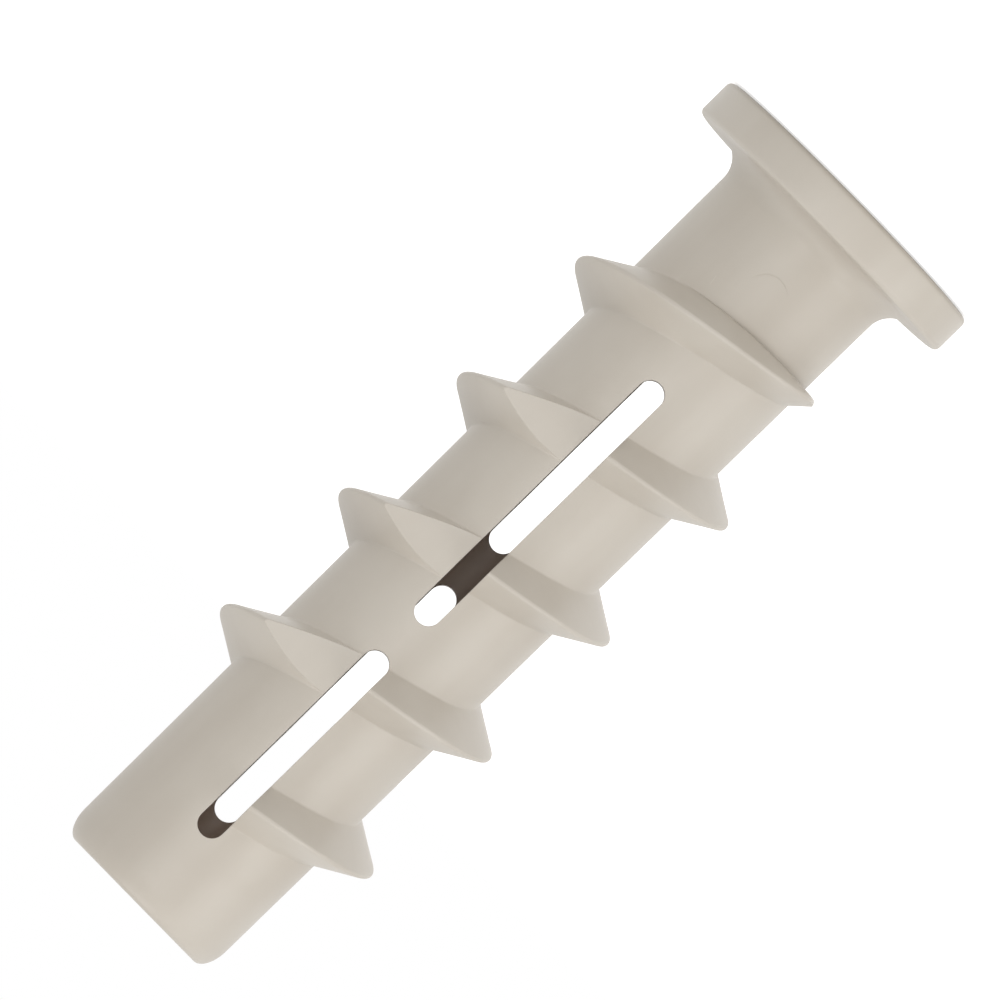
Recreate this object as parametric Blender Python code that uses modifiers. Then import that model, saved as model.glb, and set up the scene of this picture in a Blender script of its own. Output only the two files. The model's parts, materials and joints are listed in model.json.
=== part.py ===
# Plug for aerated concrete, one moulding in pale nylon.
#
# The plug stands on its head. The origin is the centre of the head's outer face, +Z runs along
# the plug to its tip, and the front pair of slots faces -Y. Lengths along the plug are measured
# from the head face or, for what belongs to the tip, back from the tip face.

import math

import bmesh
import bpy
from mathutils import Matrix

MM = 0.001

# Overall
LENGTH = 50.0 * MM

# Head flange
HEAD_RADIUS = 8.43 * MM
HEAD_THICKNESS = 2.2 * MM
HEAD_EDGE_RADIUS = 0.32 * MM
HEAD_FILLET_RADIUS = 1.45 * MM

# Shank, drawn in slightly towards the tip
SHANK_RADIUS_AT_HEAD = 5.245 * MM
SHANK_RADIUS_AT_TIP = 5.015 * MM
TIP_ROUNDING_DEPTH = 0.8 * MM
TIP_ROUNDING_LENGTH = 1.5 * MM

# Screw bore, straight behind the head and narrowing to the tip
BORE_RADIUS = 3.2 * MM
BORE_MOUTH_DEPTH = 0.9 * MM
BORE_STRAIGHT_LENGTH = 21.0 * MM
BORE_TAPER_LENGTH = 18.0 * MM
BORE_TIP_RADIUS = 1.8 * MM

# Helical fin, single start and right hand
FIN_PITCH = 8.285 * MM
FIN_HEIGHT = 2.29 * MM
FIN_FLANK_ANGLE = math.radians(29.8)
FIN_CREST_ROUNDING = 0.2 * MM
FIN_ROOT_FILLET = 0.22 * MM
FIN_ROOT_DEPTH = 0.6 * MM
FIN_END_FROM_TIP = 7.22 * MM

# The fin's run-out beside the head is cut square at this height. Over a stretch of rise that
# reaches as far past the cut as before it, the fin's crest sinks and its climb eases off.
FIN_RUN_OUT_HEIGHT = 8.3 * MM
FIN_RUN_OUT_RISE = 3.6 * MM
FIN_RUN_OUT_DROP = 2.0 * MM
FIN_RUN_OUT_EASE = 0.6 * MM

# Depths under the shank's surface of the fin's foot and of the chip flats beside the slots
FIN_FOOT_SINK = 0.03 * MM
FLAT_SINK = 0.1 * MM

# Slots through one wall each, from the tip: a land, a slot, a web and the next slot
SLOT_WIDTH = 1.45 * MM
FRONT_TIP_LAND = 4.7 * MM
FRONT_TIP_SLOT_LENGTH = 12.8 * MM
FRONT_WEB = 2.3 * MM
FRONT_NECK_SLOT_LENGTH = 16.9 * MM
BACK_TIP_LAND = 5.9 * MM
BACK_TIP_SLOT_LENGTH = 16.4 * MM
BACK_WEB = 2.85 * MM
BACK_NECK_SLOT_LENGTH = 13.4 * MM

# Facets. An odd count at the slots' round ends keeps their corners off the shank's facet edges.
TURNED_SEGMENTS = 48
ARC_SEGMENTS = 4
CREST_SEGMENTS = 2
SLOT_END_SEGMENTS = 9
OVERSHOOT = 1.0 * MM
WELD_DISTANCE = 0.0005 * MM
SHARP_ANGLE = math.radians(25)

FRONT = -1
BACK = 1


# Collections and material

def clear_scene():
    for thing in list(bpy.data.objects):
        bpy.data.objects.remove(thing, do_unlink=True)


def new_collection(name):
    collection = bpy.data.collections.new(name)
    bpy.context.scene.collection.children.link(collection)
    return collection


def nylon():
    material = bpy.data.materials.new("pale_nylon")
    material.use_nodes = True
    shader = material.node_tree.nodes["Principled BSDF"]
    shader.inputs["Base Color"].default_value = (0.56, 0.51, 0.45, 1.0)
    shader.inputs["Roughness"].default_value = 0.48
    shader.inputs["Metallic"].default_value = 0.0
    return material


# Measures that follow from the sizes

def shank_radius(height):
    share = height / LENGTH
    return SHANK_RADIUS_AT_HEAD + (SHANK_RADIUS_AT_TIP - SHANK_RADIUS_AT_HEAD) * share


def mean_shank_radius():
    return (SHANK_RADIUS_AT_HEAD + SHANK_RADIUS_AT_TIP) / 2


def fin_crest_radius():
    return mean_shank_radius() + FIN_HEIGHT


def fin_half_width():
    # Half the fin's width where its flanks meet the mean shank
    sharp_tip = FIN_CREST_ROUNDING * (1 / math.sin(FIN_FLANK_ANGLE) - 1)
    return (FIN_HEIGHT + sharp_tip) * math.tan(FIN_FLANK_ANGLE)


def slot_spans(tip_land, tip_slot, web, neck_slot):
    # Lowest and highest point of the two slots in one wall
    top = LENGTH - tip_land
    neck_top = top - tip_slot - web
    return [(top - tip_slot, top), (neck_top - neck_slot, neck_top)]


def front_slots():
    return slot_spans(FRONT_TIP_LAND, FRONT_TIP_SLOT_LENGTH, FRONT_WEB, FRONT_NECK_SLOT_LENGTH)


def back_slots():
    return slot_spans(BACK_TIP_LAND, BACK_TIP_SLOT_LENGTH, BACK_WEB, BACK_NECK_SLOT_LENGTH)


# Modelling helpers

def arc(centre, radii, start, end, segments=ARC_SEGMENTS):
    # Points of an elliptical arc in the XZ plane, with its angles in degrees
    points = []
    for step in range(segments + 1):
        angle = math.radians(start + (end - start) * step / segments)
        points.append((centre[0] + radii[0] * math.cos(angle), centre[1] + radii[1] * math.sin(angle)))
    return points


def profile_object(name, points, collection, closed=False):
    mesh = bpy.data.meshes.new(name)
    count = len(points)
    edges = [(index, index + 1) for index in range(count - 1)]
    if closed:
        edges.append((count - 1, 0))
    mesh.from_pydata([(x, 0.0, z) for x, z in points], edges, [])
    thing = bpy.data.objects.new(name, mesh)
    collection.objects.link(thing)
    return thing


def turned(name, points, collection):
    # A solid of revolution whose profile runs from the axis at the top to the axis at the bottom
    thing = profile_object(name, points, collection)
    screw = thing.modifiers.new("Turn", "SCREW")
    screw.axis = "Z"
    screw.steps = TURNED_SEGMENTS
    screw.render_steps = TURNED_SEGMENTS
    screw.use_merge_vertices = True
    screw.merge_threshold = 0.01 * MM
    return thing


def as_cutter(thing):
    thing.hide_render = True
    thing.display_type = "WIRE"
    return thing


def freeze(thing):
    # Turn the modifiers' result into the object's own mesh, smooth but for its sharp edges
    graph = bpy.context.evaluated_depsgraph_get()
    mesh = bpy.data.meshes.new_from_object(thing.evaluated_get(graph))
    thing.modifiers.clear()
    thing.data = mesh
    mesh.shade_smooth()
    mesh.set_sharp_from_angle(angle=SHARP_ANGLE)


def join_or_cut(thing, tool, operation):
    # Each result is welded and made of triangles, so that the next Boolean gets a clean mesh
    boolean = thing.modifiers.new(tool.name, "BOOLEAN")
    boolean.operation = operation
    boolean.solver = "EXACT"
    boolean.object = tool
    weld = thing.modifiers.new(f"{tool.name}_weld", "WELD")
    weld.merge_threshold = WELD_DISTANCE
    thing.modifiers.new(f"{tool.name}_triangles", "TRIANGULATE")


def box_cutter(name, low, high, collection):
    mesh = bpy.data.meshes.new(name)
    shape = bmesh.new()
    bmesh.ops.create_cube(shape, size=1.0)
    for vertex in shape.verts:
        for axis in range(3):
            middle = (low[axis] + high[axis]) / 2
            vertex.co[axis] = middle + vertex.co[axis] * (high[axis] - low[axis])
    shape.to_mesh(mesh)
    shape.free()
    thing = bpy.data.objects.new(name, mesh)
    collection.objects.link(thing)
    return as_cutter(thing)


# Shank and head, one turned profile

def make_shank(collection):
    tip_shoulder = LENGTH - TIP_ROUNDING_LENGTH
    tip_face_radius = shank_radius(tip_shoulder) - TIP_ROUNDING_DEPTH
    edge = HEAD_EDGE_RADIUS
    room = HEAD_RADIUS - edge - SHANK_RADIUS_AT_HEAD
    fillet = min(HEAD_FILLET_RADIUS, room)
    neck = shank_radius(HEAD_THICKNESS + fillet)
    rim = HEAD_RADIUS - edge

    points = [(0.0, LENGTH)]
    points += arc((tip_face_radius, tip_shoulder), (TIP_ROUNDING_DEPTH, TIP_ROUNDING_LENGTH), 90, 0)
    points += arc((neck + fillet, HEAD_THICKNESS + fillet), (fillet, fillet), 180, 270, 6)
    points += arc((rim, HEAD_THICKNESS - edge), (edge, edge), 90, 0, 3)
    points += arc((rim, edge), (edge, edge), 0, -90, 3)
    points += [(0.0, 0.0)]
    return turned("anchor_body", points, collection)


def make_bore(collection):
    mouth_radius = BORE_RADIUS + BORE_MOUTH_DEPTH
    taper_end = BORE_STRAIGHT_LENGTH + BORE_TAPER_LENGTH
    points = [
        (0.0, LENGTH + OVERSHOOT),
        (BORE_TIP_RADIUS, LENGTH + OVERSHOOT),
        (BORE_TIP_RADIUS, taper_end),
        (BORE_RADIUS, BORE_STRAIGHT_LENGTH),
        (BORE_RADIUS, BORE_MOUTH_DEPTH),
        (mouth_radius + OVERSHOOT, -OVERSHOOT),
        (0.0, -OVERSHOOT),
    ]
    # Half a facet's turn keeps its edges off the facet edges of the shank's end faces
    bore = turned("bore", points, collection)
    bore.rotation_euler = (0.0, 0.0, math.pi / TURNED_SEGMENTS)
    return as_cutter(bore)


# Helical fin

def fin_section():
    # Closed section of the fin at +X, about height 0, run from the tip side over the crest
    mean = mean_shank_radius()
    crest_centre = fin_crest_radius() - FIN_CREST_ROUNDING
    open_angle = 90 - math.degrees(FIN_FLANK_ANGLE)
    rounding = (FIN_CREST_ROUNDING, FIN_CREST_ROUNDING)
    crest = arc((crest_centre, 0.0), rounding, open_angle, -open_angle, CREST_SEGMENTS)

    base = fin_half_width()
    flank_foot = base - FIN_ROOT_FILLET * math.tan(FIN_FLANK_ANGLE)
    flare = base + FIN_ROOT_FILLET / 2
    root = mean - FIN_ROOT_DEPTH
    upper = [(root, flare), (mean - FIN_FOOT_SINK, flare), (mean + FIN_ROOT_FILLET, flank_foot)]
    lower = [(radius, -height) for radius, height in reversed(upper)]
    return upper + crest + lower


def fin_sweep():
    # The fin ends inside the front slot, at -Y, and starts wholly below its run-out.
    # Its sections stand midway between the shank's facet edges.
    end_turn = 0.75 + 0.5 / TURNED_SEGMENTS
    end_height = LENGTH - FIN_END_FROM_TIP
    start_height = FIN_RUN_OUT_HEIGHT - FIN_RUN_OUT_EASE - fin_half_width() - FIN_ROOT_FILLET
    steps = math.ceil((end_height - start_height) / FIN_PITCH * TURNED_SEGMENTS)
    return end_turn, end_height, steps


def make_fin(collection):
    end_turn, end_height, steps = fin_sweep()
    turns = steps / TURNED_SEGMENTS
    section = fin_section()
    sweep = profile_object("fin_section", section, collection, closed=True)
    screw = sweep.modifiers.new("Sweep", "SCREW")
    screw.axis = "Z"
    screw.iterations = 1
    screw.angle = turns * math.tau
    screw.screw_offset = turns * FIN_PITCH
    screw.steps = steps
    screw.render_steps = steps
    screw.use_merge_vertices = False

    graph = bpy.context.evaluated_depsgraph_get()
    mesh = bpy.data.meshes.new_from_object(sweep.evaluated_get(graph))
    bpy.data.objects.remove(sweep, do_unlink=True)

    shape = bmesh.new()
    shape.from_mesh(mesh)
    bmesh.ops.holes_fill(shape, edges=shape.edges, sides=0)
    turn_start = Matrix.Rotation((end_turn - turns) * math.tau, 4, "Z")
    lift_start = Matrix.Translation((0.0, 0.0, end_height - turns * FIN_PITCH))
    bmesh.ops.transform(shape, matrix=lift_start @ turn_start, verts=shape.verts)
    for index, vertex in enumerate(shape.verts):
        share = (index // len(section)) / steps
        centre_height = end_height - turns * FIN_PITCH * (1 - share)
        vertex.co = drawn_to_shank(vertex.co, centre_height)
    bmesh.ops.recalc_face_normals(shape, faces=shape.faces)
    # The helical faces aren't flat, so they are made triangles before anything cuts them
    bmesh.ops.triangulate(shape, faces=shape.faces)
    shape.to_mesh(mesh)
    shape.free()
    fin = bpy.data.objects.new("fin", mesh)
    collection.objects.link(fin)
    return as_cutter(fin)


def drawn_to_shank(point, centre_height):
    # The fin's foot follows the tapered shank, and its crest and climb follow the run-out
    x, y, z = point
    mean = mean_shank_radius()
    radius = math.hypot(x, y)
    rise = (radius - mean) / FIN_HEIGHT
    fade = (FIN_RUN_OUT_HEIGHT + FIN_RUN_OUT_RISE / 2 - centre_height) / FIN_RUN_OUT_RISE
    fade = min(max(fade, 0.0), 1.0) ** 2
    shift = (shank_radius(z) - mean) * min(1.0, 1.0 - rise)
    shift -= FIN_RUN_OUT_DROP * fade * max(rise, 0.0)
    scale = (radius + shift) / radius
    return (x * scale, y * scale, z + FIN_RUN_OUT_EASE * fade)


def make_run_out_cutter(collection):
    # Everything on the head's side of the run-out is square to the plug
    reach = fin_crest_radius() + OVERSHOOT
    low = (-reach, -reach, -FIN_PITCH)
    high = (reach, reach, FIN_RUN_OUT_HEIGHT)
    return box_cutter("run_out", low, high, collection)


def make_flat_cutter(name, side, slots, collection):
    # A block whose inner face lies along the tapered shank, on one half of one wall. Its upright
    # side stands inside the slot's width, just off the middle.
    start = min(low for low, high in slots)
    reach = fin_crest_radius() + OVERSHOOT
    across = sorted((-side * SLOT_WIDTH / 4, -side * reach))
    along = sorted((side * mean_shank_radius(), side * reach))
    low = (across[0], along[0], start)
    high = (across[1], along[1], LENGTH)
    cutter = box_cutter(name, low, high, collection)
    for vertex in cutter.data.vertices:
        if abs(vertex.co.y) < fin_crest_radius():
            vertex.co.y = side * (shank_radius(vertex.co.z) - FLAT_SINK)
    return cutter


# Slots

def make_slot_cutter(name, side, span, collection):
    # A flat outline with round ends, as thick as from the axis to past the fin
    half_width = SLOT_WIDTH / 2
    depth = (fin_crest_radius() + OVERSHOOT) / 2
    outline = arc((0.0, span[1] - half_width), (half_width, half_width), 0, 180, SLOT_END_SEGMENTS)
    outline += arc((0.0, span[0] + half_width), (half_width, half_width), 180, 360, SLOT_END_SEGMENTS)

    curve = bpy.data.curves.new(name, "CURVE")
    curve.dimensions = "2D"
    curve.fill_mode = "BOTH"
    curve.extrude = depth
    spline = curve.splines.new("POLY")
    spline.points.add(len(outline) - 1)
    for point, (x, z) in zip(spline.points, outline):
        point.co = (x, z, 0.0, 1.0)
    spline.use_cyclic_u = True
    drawing = bpy.data.objects.new(name, curve)
    drawing.rotation_euler = (math.pi / 2, 0.0, 0.0)
    drawing.location = (0.0, side * depth, 0.0)
    collection.objects.link(drawing)

    graph = bpy.context.evaluated_depsgraph_get()
    mesh = bpy.data.meshes.new_from_object(drawing.evaluated_get(graph))
    shape = bmesh.new()
    shape.from_mesh(mesh)
    bmesh.ops.remove_doubles(shape, verts=shape.verts, dist=0.001 * MM)
    bmesh.ops.recalc_face_normals(shape, faces=shape.faces)
    shape.to_mesh(mesh)
    shape.free()
    cutter = bpy.data.objects.new(name, mesh)
    cutter.matrix_world = drawing.matrix_world
    bpy.data.objects.remove(drawing, do_unlink=True)
    collection.objects.link(cutter)
    return as_cutter(cutter)


def main():
    clear_scene()
    parts = new_collection("aerated_concrete_anchor")
    cutters = new_collection("cutters")

    anchor = make_shank(parts)
    anchor.data.materials.append(nylon())

    fin = make_fin(cutters)
    join_or_cut(fin, make_run_out_cutter(cutters), "DIFFERENCE")
    join_or_cut(fin, make_flat_cutter("front_flat", FRONT, front_slots(), cutters), "DIFFERENCE")
    join_or_cut(fin, make_flat_cutter("back_flat", BACK, back_slots(), cutters), "DIFFERENCE")
    join_or_cut(anchor, fin, "UNION")

    join_or_cut(anchor, make_bore(cutters), "DIFFERENCE")
    for side, word, spans in ((FRONT, "front", front_slots()), (BACK, "back", back_slots())):
        for place, span in zip(("tip", "neck"), spans):
            slot = make_slot_cutter(f"{word}_{place}_slot", side, span, cutters)
            join_or_cut(anchor, slot, "DIFFERENCE")
    freeze(anchor)


main()
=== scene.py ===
# Looks of the plug for aerated concrete: one pale nylon moulding on a white table.
# Lengths in the dictionaries are in millimetres and become metres where a mesh is made.

import json
import math

import bmesh
import bpy
from mathutils import Matrix, Vector

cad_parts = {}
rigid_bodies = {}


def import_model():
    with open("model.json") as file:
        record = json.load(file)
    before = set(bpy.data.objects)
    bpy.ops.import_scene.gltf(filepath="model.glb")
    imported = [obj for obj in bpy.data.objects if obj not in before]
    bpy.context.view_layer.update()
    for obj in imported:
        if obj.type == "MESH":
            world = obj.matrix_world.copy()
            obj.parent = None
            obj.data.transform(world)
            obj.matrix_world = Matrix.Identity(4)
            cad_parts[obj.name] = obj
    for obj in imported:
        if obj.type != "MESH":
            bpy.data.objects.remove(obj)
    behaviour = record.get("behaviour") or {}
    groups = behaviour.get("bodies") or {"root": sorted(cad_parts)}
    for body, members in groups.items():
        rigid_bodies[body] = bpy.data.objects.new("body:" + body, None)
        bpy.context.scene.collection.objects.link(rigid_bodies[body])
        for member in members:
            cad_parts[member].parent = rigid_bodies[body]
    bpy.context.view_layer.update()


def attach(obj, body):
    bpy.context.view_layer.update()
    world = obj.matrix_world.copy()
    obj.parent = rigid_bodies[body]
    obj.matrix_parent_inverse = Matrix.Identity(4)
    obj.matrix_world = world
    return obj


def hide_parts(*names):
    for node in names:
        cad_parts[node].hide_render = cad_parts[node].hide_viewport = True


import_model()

mm = 0.001

scene = bpy.context.scene
scene.view_settings.view_transform = "Standard"


# Node helpers

class Socket:
    # An output socket that Python's own operators work on
    def __init__(self, nodes, node, output):
        self.nodes = nodes
        self.node = node
        self.link = node.outputs[output]

    def out(self, output):
        return Socket(self.nodes, self.node, output)

    def math(self, operation, *others):
        return self.nodes.maths(operation, self, *others)

    def __add__(self, other):
        return self.math("ADD", other)

    def __radd__(self, other):
        return self.math("ADD", other)

    def __sub__(self, other):
        return self.math("SUBTRACT", other)

    def __rsub__(self, other):
        return self.nodes.maths("SUBTRACT", other, self)

    def __mul__(self, other):
        return self.math("MULTIPLY", other)

    def __rmul__(self, other):
        return self.math("MULTIPLY", other)

    def __truediv__(self, other):
        return self.math("DIVIDE", other)

    def __rtruediv__(self, other):
        return self.nodes.maths("DIVIDE", other, self)

    def __pow__(self, power):
        return self.math("POWER", power)

    def __lt__(self, other):
        return self.math("LESS_THAN", other)

    def __gt__(self, other):
        return self.math("GREATER_THAN", other)


class Nodes:
    def __init__(self, tree):
        self.tree = tree

    def add(self, kind, settings=None, sockets=None, output=0):
        # settings are set first, then each socket takes a value or a link
        node = self.tree.nodes.new(kind)
        for name, value in (settings or {}).items():
            if name == "stops":
                self.setStops(node.color_ramp, value)
            else:
                setattr(node, name, value)
        for name, value in (sockets or {}).items():
            if isinstance(value, Socket):
                self.tree.links.new(value.link, node.inputs[name])
            else:
                node.inputs[name].default_value = value
        return Socket(self, node, output)

    def setStops(self, ramp, stops):
        while len(ramp.elements) < len(stops):
            ramp.elements.new(0.5)
        for element, (place, colour) in zip(ramp.elements, stops):
            element.position = place
            element.color = colour

    def maths(self, operation, *values):
        return self.add("ShaderNodeMath", {"operation": operation}, dict(enumerate(values)))

    def ramp(self, value, start, end, low=0.0, high=1.0, smooth=False):
        # Runs from low to high while the value runs from start to end
        settings = {"interpolation_type": "SMOOTHSTEP" if smooth else "LINEAR"}
        sockets = {"Value": value, "From Min": start, "From Max": end, "To Min": low, "To Max": high}
        return self.add("ShaderNodeMapRange", settings, sockets)

    def between(self, value, low, high):
        return self.ramp(value, low, high, low, high)


# Sizes of the moulding, as in the frame's own part

plug = {
    "length": 50.0,
    "headRadius": 8.43,
    "headThickness": 2.2,
    "headEdge": 0.32,
    "headFillet": 1.45,
    "radiusAtHead": 5.245,
    "radiusAtTip": 5.015,
    "tipRoundingDepth": 0.8,
    "tipRoundingLength": 1.5,
    "boreRadius": 3.2,
    "boreMouth": 0.9,
    "boreStraight": 21.0,
    "boreTaper": 18.0,
    "boreTipRadius": 1.8,
    "boreSoftEdge": 0.12,     # at its mouth and at the tip
    "columns": 240,           # round the shank
}

fin = {
    "pitch": 8.285,
    "height": 2.29,
    "flankAngle": 29.8,
    "crestRounding": 0.16,
    "rootFillet": 0.15,
    "endHeight": 42.78,
    "runOutHeight": 8.3,
    "runOutRise": 3.6,
    "runOutDrop": 2.0,
    "runOutEase": 0.6,
    "runOutRounding": 0.28,   # of the edge that the run-out's cut leaves
    "runOutBend": 1.0,        # over which the fin's foot turns into the cut
    "crestRows": 5,           # rows of faces on one half of the fin's section
    "flankRows": 8,
    "filletRows": 5,
    "gapRows": 3,
    "from": 4.0,              # the finned stretch of the shank
    "to": 48.4,
}

slots = {
    "width": 1.45,
    "front": [(32.5, 45.3), (13.3, 30.2)],
    "back": [(27.7, 44.1), (11.45, 24.85)],
    "roundSteps": 20,
}

flats = {
    "lift": 0.004,            # kept off the shank by this much
    "side": 0.36,             # upright side, inside the slot
}


def shankRadius(height):
    share = height / plug["length"]
    return plug["radiusAtHead"] + (plug["radiusAtTip"] - plug["radiusAtHead"]) * share


# Finned stretch of the shank, as a ribbon one pitch wide wound up the plug

def finSection(nodes, offset, size):
    # Height of the fin over the shank at an offset from its middle: crest arc, flank, root fillet
    reach = offset.math("ABSOLUTE")
    arc = size["crest"] + (size["crestRounding"] ** 2 - reach * reach).math("MAXIMUM", 0.0).math("SQRT")
    flank = size["tip"] - reach * size["slope"]
    fromFoot = (size["foot"] - reach).math("MAXIMUM", 0.0)
    radius = size["rootFillet"]
    fillet = radius - (radius ** 2 - fromFoot * fromFoot).math("MAXIMUM", 0.0).math("SQRT")
    onArc = reach < size["arcEnd"]
    onFillet = reach > size["flankEnd"]
    onFlank = (1 - onArc) * (1 - onFillet)
    return onArc * arc + onFlank * flank + onFillet * fillet


def sectionSizes():
    angle = math.radians(fin["flankAngle"])
    rounding = fin["crestRounding"]
    tip = fin["height"] + rounding * (1 / math.sin(angle) - 1)
    tangent = fin["rootFillet"] * math.tan((math.pi / 2 - angle) / 2)
    base = tip * math.tan(angle)
    return {
        "crest": fin["height"] - rounding,
        "crestRounding": rounding,
        "tip": tip,
        "slope": 1 / math.tan(angle),
        "arcEnd": rounding * math.cos(angle),
        "flankEnd": base - tangent * math.sin(angle),
        "foot": base + tangent,
        "rootFillet": fin["rootFillet"],
    }


def finnedShankTree():
    tree = bpy.data.node_groups.new("finnedShank", "GeometryNodeTree")
    tree.is_modifier = True
    interface = tree.interface
    for name in ("Pitch", "End Height", "Run Out Height", "Run Out Rise", "Run Out Drop", "Run Out Ease",
                 "Run Out Rounding", "Run Out Bend", "From", "To", "Radius At Head", "Radius At Tip",
                 "Length", "Fin Height", "Columns", "Turns", "Turns To End"):
        interface.new_socket(name, in_out="INPUT", socket_type="NodeSocketFloat")
    interface.new_socket("Material", in_out="INPUT", socket_type="NodeSocketMaterial")
    interface.new_socket("Geometry", in_out="OUTPUT", socket_type="NodeSocketGeometry")

    nodes = Nodes(tree)
    given = nodes.add("NodeGroupInput")
    size = sectionSizes()
    halfRows = fin["crestRows"] + fin["flankRows"] + fin["filletRows"] + fin["gapRows"]
    rowCount = 2 * halfRows + 1

    columnCount = given.out("Columns") * given.out("Turns") + 1
    grid = nodes.add("GeometryNodeMeshGrid", None, {"Vertices X": columnCount, "Vertices Y": rowCount})
    index = nodes.add("GeometryNodeInputIndex")
    column = ((index + 0.5) / rowCount).math("FLOOR")
    row = index - column * rowCount - halfRows

    # Rows stand closer over the crest and the fillets
    reach = row.math("ABSOLUTE")
    halfPitch = given.out("Pitch") / 2
    stops = [(0, 0.0), (fin["crestRows"], size["arcEnd"])]
    stops.append((stops[-1][0] + fin["flankRows"], size["flankEnd"]))
    stops.append((stops[-1][0] + fin["filletRows"], size["foot"]))
    offset = 0.0
    for (rowBefore, before), (rowAfter, after) in zip(stops, stops[1:]):
        offset = nodes.ramp(reach, rowBefore, rowAfter, 0.0, after - before) + offset
    offset = offset + nodes.ramp(reach, stops[-1][0], halfRows, 0.0, halfPitch - size["foot"])
    offset = offset * row.math("SIGN")

    turn = column / given.out("Columns")
    angle = turn.math("FRACT") * math.tau
    centre = given.out("End Height") + (turn - given.out("Turns To End")) * given.out("Pitch")

    # Towards the head the crest sinks and the climb eases off
    stretch = given.out("Run Out Rise")
    fade = (given.out("Run Out Height") + stretch / 2 - centre) / stretch
    fade = nodes.between(fade, 0.0, 1.0) ** 2
    ease = given.out("Run Out Ease") * fade
    window = nodes.ramp(offset.math("ABSOLUTE"), size["foot"], halfPitch, 1.0, 0.0)
    height = centre + offset + ease * window

    # The run-out's cut, as an offset from the fin's middle, leaves the fin's foot in a soft bend
    plane = given.out("Run Out Height") - centre - ease
    bend = given.out("Run Out Bend")
    near = (1 - (plane + size["foot"]).math("ABSOLUTE") / bend).math("MAXIMUM", 0.0)
    cross = plane.math("MAXIMUM", -size["foot"]) + near * near * bend / 4
    crossed = plane < size["foot"]

    # Under the cut the fin's rows lie in it
    under = (offset < cross) * (offset.math("ABSOLUTE") < size["foot"] + 0.001)
    flattened = under * crossed
    rise = finSection(nodes, offset, size)

    # The cut's edge is rounded: a quarter circle stands under the fin's height just past the cut
    past = nodes.between(cross + given.out("Run Out Rounding"), -size["foot"], size["foot"])
    full = finSection(nodes, past, size)
    rounding = full.math("MINIMUM", given.out("Run Out Rounding"))
    across = (offset - cross) / given.out("Run Out Rounding")
    across = 1 - nodes.between(across, 0.0, 1.0)
    cap = full - rounding + rounding * (1 - across * across).math("MAXIMUM", 0.0).math("SQRT")
    nearCut = (offset < cross + given.out("Run Out Rounding")) * (cross > -size["foot"])
    rise = rise * (1 - nearCut) + rise.math("MINIMUM", cap) * nearCut
    riseUnder = rise.math("MINIMUM", full - rounding) * crossed
    rise = rise * (1 - under) + riseUnder * under
    rise = rise * (turn < given.out("Turns To End") + 0.0001)
    height = height * (1 - flattened) + (centre + ease + cross) * flattened
    height = height.math("MAXIMUM", given.out("From")).math("MINIMUM", given.out("To"))

    share = height / given.out("Length")
    atHead = given.out("Radius At Head")
    atTip = given.out("Radius At Tip")
    shank = atHead + (atTip - atHead) * share
    mean = (atHead + atTip) / 2
    sunk = given.out("Run Out Drop") * fade + (shank - mean)
    radius = (shank + rise * (1 - sunk / given.out("Fin Height"))) * mm
    place = nodes.add("ShaderNodeCombineXYZ", None, {
        "X": radius * angle.math("COSINE"),
        "Y": radius * angle.math("SINE"),
        "Z": height * mm,
    })
    shaped = nodes.add("GeometryNodeSetPosition", None, {"Geometry": grid, "Position": place})
    welded = nodes.add("GeometryNodeMergeByDistance", None, {"Geometry": shaped, "Distance": 0.002 * mm})
    realized = nodes.add("GeometryNodeRealizeInstances", None, {"Geometry": welded})
    sockets = {"Geometry": realized, "Material": given.out("Material")}
    finished = nodes.add("GeometryNodeSetMaterial", None, sockets)
    nodes.tree.links.new(finished.link, tree.nodes.new("NodeGroupOutput").inputs["Geometry"])
    return tree


def makeFinnedShank(material):
    thing = bpy.data.objects.new("finnedShank", bpy.data.meshes.new("finnedShank"))
    scene.collection.objects.link(thing)
    modifier = thing.modifiers.new("Fin", "NODES")
    modifier.node_group = finnedShankTree()
    turnsToEnd = math.ceil((fin["endHeight"] - fin["from"]) / fin["pitch"] + 0.5) - 0.25
    turnsAbove = (fin["to"] - fin["endHeight"]) / fin["pitch"] + 0.5
    values = {
        "Pitch": fin["pitch"],
        "End Height": fin["endHeight"],
        "Run Out Height": fin["runOutHeight"],
        "Run Out Rise": fin["runOutRise"],
        "Run Out Drop": fin["runOutDrop"],
        "Run Out Ease": fin["runOutEase"],
        "Run Out Rounding": fin["runOutRounding"],
        "Run Out Bend": fin["runOutBend"],
        "From": fin["from"],
        "To": fin["to"],
        "Radius At Head": plug["radiusAtHead"],
        "Radius At Tip": plug["radiusAtTip"],
        "Length": plug["length"],
        "Fin Height": fin["height"],
        "Columns": float(plug["columns"]),
        "Turns": float(math.ceil(turnsToEnd + turnsAbove)),
        "Turns To End": turnsToEnd,
        "Material": material,
    }
    for item in modifier.node_group.interface.items_tree:
        if item.in_out == "INPUT":
            modifier[item.identifier] = values[item.name]
    return takeResult(thing)


def takeResult(thing):
    # The modifiers' result as a mesh of its own, and the object that made it is gone
    graph = bpy.context.evaluated_depsgraph_get()
    mesh = bpy.data.meshes.new_from_object(thing.evaluated_get(graph))
    bpy.data.objects.remove(thing, do_unlink=True)
    return mesh


# Head, bore and tip, turned about the same columns

def arc(centre, radii, start, end, steps):
    points = []
    for step in range(steps + 1):
        angle = math.radians(start + (end - start) * step / steps)
        points.append((centre[0] + radii[0] * math.cos(angle), centre[1] + radii[1] * math.sin(angle)))
    return points


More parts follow.
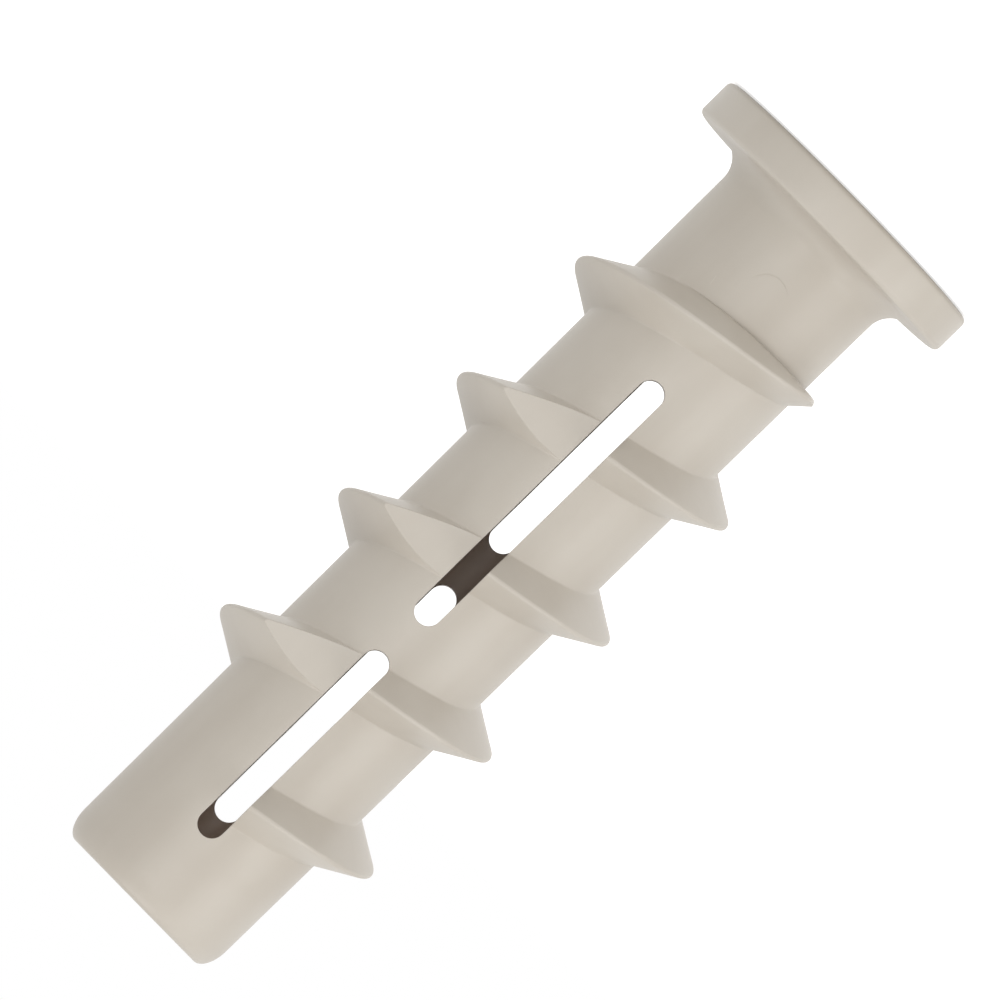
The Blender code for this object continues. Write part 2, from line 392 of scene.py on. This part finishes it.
def turnedProfile():
    # From the finned stretch over the head, up the bore, over the tip and back down to it
    edge = plug["headEdge"]
    rim = plug["headRadius"] - edge
    fillet = plug["headFillet"]
    thickness = plug["headThickness"]
    neck = shankRadius(thickness + fillet)
    bore = plug["boreRadius"]
    mouth = plug["boreMouth"]
    shoulder = plug["length"] - plug["tipRoundingLength"]
    tipFace = shankRadius(shoulder) - plug["tipRoundingDepth"]
    softEdge = plug["boreSoftEdge"]
    tipBore = plug["boreTipRadius"]

    points = [(shankRadius(fin["from"]), fin["from"])]
    points += arc((neck + fillet, thickness + fillet), (fillet, fillet), 180, 270, 16)
    points += arc((rim, thickness - edge), (edge, edge), 90, 0, 8)
    points += arc((rim, edge), (edge, edge), 0, -90, 8)
    points += [(bore + mouth + softEdge, 0.0), (bore + mouth - softEdge / 2, softEdge / 2)]
    points += [(bore + softEdge / 2, mouth - softEdge / 2), (bore, mouth + softEdge)]
    points += [(bore, height) for height in (7.0, 14.0, plug["boreStraight"])]
    points += [(tipBore, plug["boreStraight"] + plug["boreTaper"])]
    points += [(tipBore, plug["length"] - softEdge), (tipBore + softEdge, plug["length"])]
    rounding = (plug["tipRoundingDepth"], plug["tipRoundingLength"])
    points += arc((tipFace, shoulder), rounding, 90, 0, 14)
    points += [(shankRadius(fin["to"]), fin["to"])]
    return points


def addTurnedEnds(shape):
    points = turnedProfile()
    columns = plug["columns"]
    rings = []
    for radius, height in points:
        ring = []
        for column in range(columns):
            angle = math.tau * column / columns
            place = (radius * mm * math.cos(angle), radius * mm * math.sin(angle), height * mm)
            ring.append(shape.verts.new(place))
        rings.append(ring)
    for lower, upper in zip(rings, rings[1:]):
        for column in range(columns):
            following = (column + 1) % columns
            shape.faces.new((lower[column], lower[following], upper[following], upper[column]))


# Cutters for the slots and for the flats beside them

def slotCutter(name, side, span, collection):
    half = slots["width"] / 2
    depth = side * (plug["radiusAtHead"] + fin["height"] + 1)
    steps = slots["roundSteps"]
    outline = arc((0.0, span[1] - half), (half, half), 0, 180, steps)
    outline += arc((0.0, span[0] + half), (half, half), 180, 360, steps)
    inner = [(x, 0.0, z) for x, z in outline]
    outer = [(x, depth, z) for x, z in outline]
    return solidBetween(name, inner, outer, collection)


def flatCutter(name, side, spans, collection):
    # On one half of one wall, its inner face just off the tapered shank
    low = min(span[0] for span in spans)
    reach = plug["radiusAtHead"] + fin["height"] + 1
    rings = []
    for height in (low, plug["length"] + 1):
        face = shankRadius(height) + flats["lift"]
        outline = [(flats["side"], face), (reach, face), (reach, reach), (flats["side"], reach)]
        rings.append([(-side * x, side * y, height) for x, y in outline])
    return solidBetween(name, rings[0], rings[1], collection)


def solidBetween(name, firstRing, secondRing, collection):
    # Two outlines with as many points, and the walls between them
    shape = bmesh.new()
    rings = []
    for ring in (firstRing, secondRing):
        rings.append([shape.verts.new(Vector(point) * mm) for point in ring])
    count = len(firstRing)
    shape.faces.new(rings[0])
    shape.faces.new(list(reversed(rings[1])))
    for number in range(count):
        following = (number + 1) % count
        shape.faces.new((rings[0][following], rings[0][number], rings[1][number], rings[1][following]))
    bmesh.ops.recalc_face_normals(shape, faces=shape.faces)
    bmesh.ops.triangulate(shape, faces=shape.faces)
    mesh = bpy.data.meshes.new(name)
    shape.to_mesh(mesh)
    shape.free()
    cutter = bpy.data.objects.new(name, mesh)
    collection.objects.link(cutter)
    return cutter


def makePlug(material):
    shape = bmesh.new()
    shape.from_mesh(makeFinnedShank(material))
    print("finned shank:", len(shape.faces), "faces")
    addTurnedEnds(shape)
    bmesh.ops.remove_doubles(shape, verts=shape.verts, dist=0.002 * mm)
    bmesh.ops.recalc_face_normals(shape, faces=shape.faces)
    openEdges = sum(1 for edge in shape.edges if len(edge.link_faces) != 2)
    print("with its ends:", len(shape.faces), "faces, open edges", openEdges)
    mesh = bpy.data.meshes.new("plugBlank")
    shape.to_mesh(mesh)
    shape.free()
    mesh.materials.append(material)
    blank = bpy.data.objects.new("plugBlank", mesh)
    scene.collection.objects.link(blank)

    cutters = bpy.data.collections.new("cutters")
    scene.collection.children.link(cutters)
    for word, side in (("front", -1), ("back", 1)):
        for number, span in enumerate(slots[word]):
            slotCutter(f"{word}Slot{number}", side, span, cutters)
        flatCutter(f"{word}Flat", side, slots[word], cutters)
    cut = blank.modifiers.new("Cuts", "BOOLEAN")
    cut.operation = "DIFFERENCE"
    cut.solver = "EXACT"
    cut.operand_type = "COLLECTION"
    cut.collection = cutters
    mesh = takeResult(blank)
    for cutter in list(cutters.objects):
        bpy.data.objects.remove(cutter, do_unlink=True)
    bpy.data.collections.remove(cutters)

    mesh.materials.clear()
    mesh.materials.append(material)
    mesh.shade_smooth()
    mesh.set_sharp_from_angle(angle=math.radians(32))
    piece = bpy.data.objects.new("plug", mesh)
    scene.collection.objects.link(piece)
    triangles = sum(len(face.vertices) - 2 for face in mesh.polygons)
    print("plug cut:", triangles, "triangles")
    return piece


# Nylon

nylon = {
    "colour": (0.572, 0.527, 0.462, 1.0),
    "shade": (0.540, 0.492, 0.427, 1.0),
    "inside": (0.430, 0.335, 0.270, 1.0),     # painted shade in the bore: darker and warmer where little light gets in
    "root": (0.440, 0.392, 0.330, 1.0),       # painted shade: darker deep in the fin's roots and under the head
    "paintedShadeReach": 0.7,
    # painted light along the plug: paler at the head, darker at the tip
    "paintedLightAtHead": 0.42,       # added to the pattern of the colour
    "paintedShadeAtTip": -0.30,
    "roughness": 0.42,
    "edge": 0.07,             # softened width of the moulding's edges
    "relief": 0.010,
}

neckMarks = {
    "ring": (-0.5, 6.5, 1.1),                 # across, along, radius: faint round mark
    "ringWidth": 0.07,
    "scratch": (1.90, 7.78, 0.30),            # across, along, half length
    "scratchWidth": 0.05,
    "scratchSlope": 0.18,
}


def marksOnNeck(nodes, x, y, z):
    # Two faint marks on the front of the neck, each from 0 to 1
    ahead = y < 0.0
    across, along, radius = neckMarks["ring"]
    fromCentre = ((x - across) * (x - across) + (z - along) * (z - along)).math("SQRT")
    fromRing = (fromCentre - radius).math("ABSOLUTE")
    ring = nodes.ramp(fromRing, 0.0, neckMarks["ringWidth"], 1.0, 0.0, smooth=True)
    ring = ring * nodes.ramp(z - x * 0.3, along - 0.2, along - 0.9, 0.0, 1.0, smooth=True) * ahead

    across, along, reach = neckMarks["scratch"]
    beside = (x - across + (z - along) * neckMarks["scratchSlope"]).math("ABSOLUTE")
    scratch = nodes.ramp(beside, 0.0, neckMarks["scratchWidth"], 1.0, 0.0, smooth=True)
    scratch = scratch * nodes.ramp((z - along).math("ABSOLUTE"), reach - 0.1, reach, 1.0, 0.0) * ahead
    return ring, scratch


def nylonMaterial():
    material = bpy.data.materials.new("paleNylon")
    material.use_nodes = True
    tree = material.node_tree
    tree.nodes.clear()
    nodes = Nodes(tree)
    place = nodes.add("ShaderNodeTexCoord", output="Object")
    inMm = nodes.add("ShaderNodeMapping", None, {"Vector": place, "Scale": (1 / mm, 1 / mm, 1 / mm)})
    stretched = (0.5 / mm, 0.5 / mm, 0.07 / mm)
    alongPlug = nodes.add("ShaderNodeMapping", None, {"Vector": place, "Scale": stretched})
    x = nodes.add("ShaderNodeSeparateXYZ", None, {"Vector": inMm})
    y = x.out("Y")
    z = x.out("Z")
    clouds = nodes.add("ShaderNodeTexNoise", None, {"Vector": inMm, "Scale": 0.16, "Detail": 3.0})
    flow = nodes.add("ShaderNodeTexNoise", None, {"Vector": alongPlug, "Scale": 1.0, "Detail": 4.0})
    grain = nodes.add("ShaderNodeTexNoise", None, {"Vector": inMm, "Scale": 7.0, "Detail": 2.0})
    dimples = nodes.add("ShaderNodeTexNoise", None, {"Vector": inMm, "Scale": 1.4, "Detail": 2.0})
    ring, scratch = marksOnNeck(nodes, x, y, z)

    # Painted light: paler towards the head and darker towards the tip, as the light falls from the head's
    # side
    paintedLight = nodes.ramp(z, 0.0, plug["length"], nylon["paintedLightAtHead"], nylon["paintedShadeAtTip"])
    tint = nodes.ramp(clouds * 0.6 + flow * 0.4, 0.36, 0.64, 0.0, 1.0, smooth=True) + paintedLight - ring * 0.9
    tint = nodes.between(tint + scratch * 1.2, -0.6, 1.8)
    colours = {0: tint, 6: nylon["shade"], 7: nylon["colour"]}
    skin = nodes.add("ShaderNodeMix", {"data_type": "RGBA", "clamp_factor": False}, colours, output=2)
    # Painted shade: darker where the surface is hemmed in, deep in the fin's roots and under the head
    reach = {"Distance": nylon["paintedShadeReach"] * mm}
    openness = nodes.add("ShaderNodeAmbientOcclusion", {"samples": 8}, reach, output=1)
    colours = {0: nodes.ramp(openness, 0.45, 0.85, 0.55, 0.0), 6: skin, 7: nylon["root"]}
    skin = nodes.add("ShaderNodeMix", {"data_type": "RGBA"}, colours, output=2)
    # Painted shade: the bore's wall, where little light gets in, takes the darker inside colour
    radius = (x * x + y * y).math("SQRT")
    paintedBoreShade = nodes.ramp(radius, plug["boreRadius"] + 0.1, plug["boreRadius"] + 1.0, 1.0, 0.0, smooth=True)
    paintedBoreShade = paintedBoreShade * (z > 2.0) * (z < plug["length"] - 1.0)
    colours = {0: paintedBoreShade, 6: skin, 7: nylon["inside"]}
    colour = nodes.add("ShaderNodeMix", {"data_type": "RGBA"}, colours, output=2)

    roughness = nylon["roughness"] + (flow - 0.5) * 0.16 + (grain - 0.5) * 0.08
    softEdges = nodes.add("ShaderNodeBevel", {"samples": 6}, {"Radius": nylon["edge"] * mm})
    normal = nodes.add("ShaderNodeBump", None, {
        "Strength": 0.6,
        "Distance": nylon["relief"] * mm,
        "Height": grain * 0.25 + dimples * 0.75 - ring * 2.0 + scratch * 1.5,
        "Normal": softEdges,
    })
    shader = nodes.add("ShaderNodeBsdfPrincipled", None, {
        "Base Color": colour,
        "Roughness": roughness,
        "Normal": normal,
        "IOR": 1.5,
    })
    output = tree.nodes.new("ShaderNodeOutputMaterial")
    tree.links.new(shader.link, output.inputs["Surface"])
    return material


# Table, light and camera

studio = {
    "table": (0.86, 0.86, 0.86, 1.0),
    "tableGlow": 0.7,         # for the rays that see the background alone
    "room": (1.0, 0.995, 0.985, 1.0),
    "roomStrength": 0.64,
}


def seenRays(nodes):
    # 1 for the rays that see the background, straight or in a gloss
    rays = nodes.add("ShaderNodeLightPath", output="Is Camera Ray")
    return rays.math("MAXIMUM", rays.out("Is Glossy Ray")).math("MAXIMUM", rays.out("Is Transmission Ray"))


def paleStage():
    material = bpy.data.materials.new("whiteTable")
    material.use_nodes = True
    tree = material.node_tree
    tree.nodes.clear()
    nodes = Nodes(tree)
    paint = nodes.add("ShaderNodeBsdfDiffuse", None, {"Color": studio["table"]})
    white = {"Color": (1.0, 1.0, 1.0, 1.0), "Strength": studio["tableGlow"]}
    glow = nodes.add("ShaderNodeEmission", None, white)
    lit = nodes.add("ShaderNodeAddShader", None, {0: paint, 1: glow})
    shader = nodes.add("ShaderNodeMixShader", None, {0: seenRays(nodes), 1: paint, 2: lit})
    tree.links.new(shader.link, tree.nodes.new("ShaderNodeOutputMaterial").inputs["Surface"])

    shape = bmesh.new()
    bmesh.ops.create_grid(shape, x_segments=1, y_segments=1, size=3.0)
    mesh = bpy.data.meshes.new("table")
    shape.to_mesh(mesh)
    shape.free()
    mesh.materials.append(material)
    table = bpy.data.objects.new("table", mesh)
    table.location = (0.0, 0.0, -0.0001)
    scene.collection.objects.link(table)


def paleWorld():
    world = bpy.data.worlds.new("paleRoom")
    world.use_nodes = True
    scene.world = world
    tree = world.node_tree
    tree.nodes.clear()
    nodes = Nodes(tree)
    light = {"Color": studio["room"], "Strength": studio["roomStrength"]}
    room = nodes.add("ShaderNodeBackground", None, light)
    white = nodes.add("ShaderNodeBackground", None, {"Color": (1.0, 1.0, 1.0, 1.0), "Strength": 1.0})
    shader = nodes.add("ShaderNodeMixShader", None, {0: seenRays(nodes), 1: room, 2: white})
    tree.links.new(shader.link, tree.nodes.new("ShaderNodeOutputWorld").inputs["Surface"])


lamps = {
    "side": {"place": (-600, -300, 15), "size": 400, "power": 1.45},
    "front": {"place": (0, -700, 15), "size": 400, "power": 1.35},
    "sideHigh": {"place": (-450, -250, 450), "size": 400, "power": 0.4},
    "top": {"place": (0, -150, 700), "size": 400, "power": 0.8},
}


def addLamps():
    aim = Vector((0.0, 0.0, plug["length"] / 2 * mm))
    for name, lamp in lamps.items():
        light = bpy.data.lights.new(name, "AREA")
        light.shape = "DISK"
        light.size = lamp["size"] * mm
        light.energy = lamp["power"]
        thing = bpy.data.objects.new(name, light)
        thing.location = Vector(lamp["place"]) * mm
        thing.rotation_euler = (aim - thing.location).to_track_quat("-Z", "Y").to_euler()
        scene.collection.objects.link(thing)


view = {
    "from": (-6.42, -1209.46, 51.39),
    "to": (1.52, 0.0, 22.93),
    "width": 50.0,            # across the picture at the plug
    "roll": 44.4,
    "sensor": 36.0,
}


def addCamera():
    place = Vector(view["from"]) * mm
    ahead = (Vector(view["to"]) * mm - place).normalized()
    up = (Vector((0, 0, 1)) - ahead * ahead.z).normalized()
    side = ahead.cross(up)
    roll = math.radians(view["roll"])
    pictureRight = -up * math.cos(roll) - side * math.sin(roll)
    pictureUp = -up * math.sin(roll) + side * math.cos(roll)
    camera = bpy.data.cameras.new("camera")
    camera.sensor_width = view["sensor"]
    distance = (Vector(view["to"]) * mm - place).length
    camera.lens = view["sensor"] * distance / (view["width"] * mm)
    thing = bpy.data.objects.new("camera", camera)
    turn = Matrix((pictureRight, pictureUp, -ahead)).transposed()
    thing.matrix_world = Matrix.Translation(place) @ turn.to_4x4()
    scene.collection.objects.link(thing)
    scene.camera = thing


addCamera()
addLamps()
paleWorld()
paleStage()
print("stage ready")

plugPiece = makePlug(nylonMaterial())
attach(plugPiece, "root")
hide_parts("anchor_body")
print("plug dressed")
